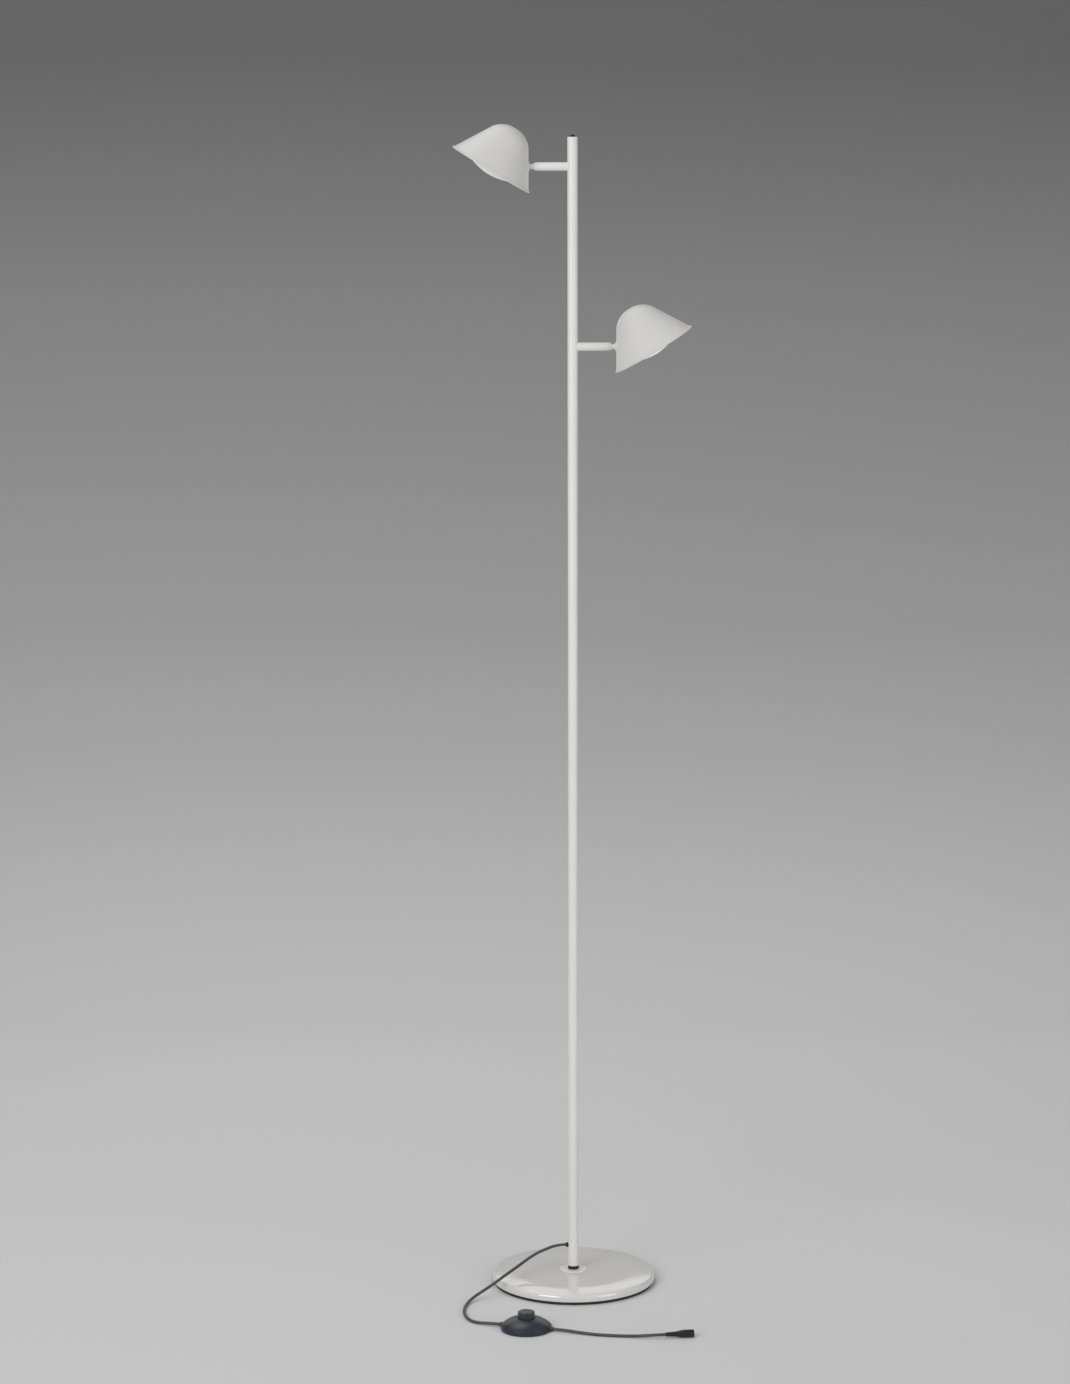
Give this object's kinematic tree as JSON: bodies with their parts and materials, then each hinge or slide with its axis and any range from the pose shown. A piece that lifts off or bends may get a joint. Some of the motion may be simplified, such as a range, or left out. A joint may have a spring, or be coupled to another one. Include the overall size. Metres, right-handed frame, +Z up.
{
  "type": "two-head reading floor lamp",
  "caption": "Slim straight pole on a round weighted base, with conical swivel heads on short arms at different heights, a round foot switch and a low-voltage cord.",
  "frame": {"origin": "on the floor, on the pole's axis", "axes": "+Z up the pole, +X towards the lower head's side, -Y towards the viewer and the switch"},
  "size_m": [0.2843, 0.3248, 1.4155],
  "materials": {
    "satin_white": "satin off-white lacquer",
    "gloss_white": "gloss warm-white lacquer",
    "black_rubber": "matt moulded",
    "zinc_steel": "zinc plated",
    "cast_weight": "rough cast",
    "black_steel": "black oxide",
    "nylon": "natural",
    "bare_aluminium": "bare machined",
    "white_board": "white solder mask",
    "white_paint": "matt white",
    "frosted_lens": "frosted, translucent",
    "lead_jacket": "smooth",
    "cord_jacket": "smooth satin",
    "switch_plastic": "fine grained satin",
    "button_plastic": "satin",
    "connector_plastic": "moulded satin",
    "brass": "bare"
  },
  "bodies": {
    "lamp": {"rubber_ring": "black_rubber", "base_plate": "zinc_steel", "base_plate_screws": "zinc_steel", "base_weight": "cast_weight", "base_cover": "gloss_white", "threaded_rod": "zinc_steel", "rod_washer": "zinc_steel", "rod_nut": "zinc_steel", "foot_collar": "satin_white", "foot_gasket": "black_rubber", "foot_sleeve": "satin_white", "pole_insert": "zinc_steel", "pole_tube": "satin_white", "pole_cap": "satin_white", "cap_screw": "black_steel", "cord_grommet": "black_rubber", "inlet_lead": "cord_jacket", "lead_splice": "switch_plastic", "upper_lead": "lead_jacket", "lower_lead": "lead_jacket", "upper_arm": "satin_white", "upper_neck_pin": "satin_white", "upper_friction_washers": "nylon", "upper_spring_washer": "zinc_steel", "upper_lock_nut": "zinc_steel", "lower_arm": "satin_white", "lower_neck_pin": "satin_white", "lower_friction_washers": "nylon", "lower_spring_washer": "zinc_steel", "lower_lock_nut": "zinc_steel", "switch_base": "switch_plastic", "switch_cover": "switch_plastic", "switch_contacts": "brass", "switch_screws": "zinc_steel", "button_spring": "zinc_steel", "cord_to_switch": "cord_jacket", "cord_to_connector": "cord_jacket", "connector_body": "connector_plastic", "connector_contact": "brass"},
    "upper_head": {"upper_shade": "satin_white", "upper_swivel_boss": "satin_white", "upper_module_post": "bare_aluminium", "upper_heat_sink": "bare_aluminium", "upper_led_board": "white_board", "upper_head_screws": "zinc_steel", "upper_baffle_plate": "white_paint", "upper_lens": "frosted_lens", "upper_lens_ring": "satin_white", "upper_head_lead": "lead_jacket"},
    "lower_head": {"lower_shade": "satin_white", "lower_swivel_boss": "satin_white", "lower_module_post": "bare_aluminium", "lower_heat_sink": "bare_aluminium", "lower_led_board": "white_board", "lower_head_screws": "zinc_steel", "lower_baffle_plate": "white_paint", "lower_lens": "frosted_lens", "lower_lens_ring": "satin_white", "lower_head_lead": "lead_jacket"},
    "foot_button": {"switch_button": "button_plastic"}
  },
  "joints": [
    {"name": "upper_head_swivel", "type": "hinge", "parent": "lamp", "child": "upper_head", "pos_m": [-0.052, 0, 1.3653], "axis": [-1, 0, 0], "range_deg": [-165, 165]},
    {"name": "lower_head_swivel", "type": "hinge", "parent": "lamp", "child": "lower_head", "pos_m": [0.052, 0, 1.1528], "axis": [1, 0, 0], "range_deg": [-165, 165]},
    {"name": "foot_button_press", "type": "slide", "parent": "lamp", "child": "foot_button", "axis": [0, 0, -1], "range_m": [0, 0.003], "stiffness_N_per_m": 1500, "springref_m": -0.001, "deforming": ["button_spring"]}
  ]
}
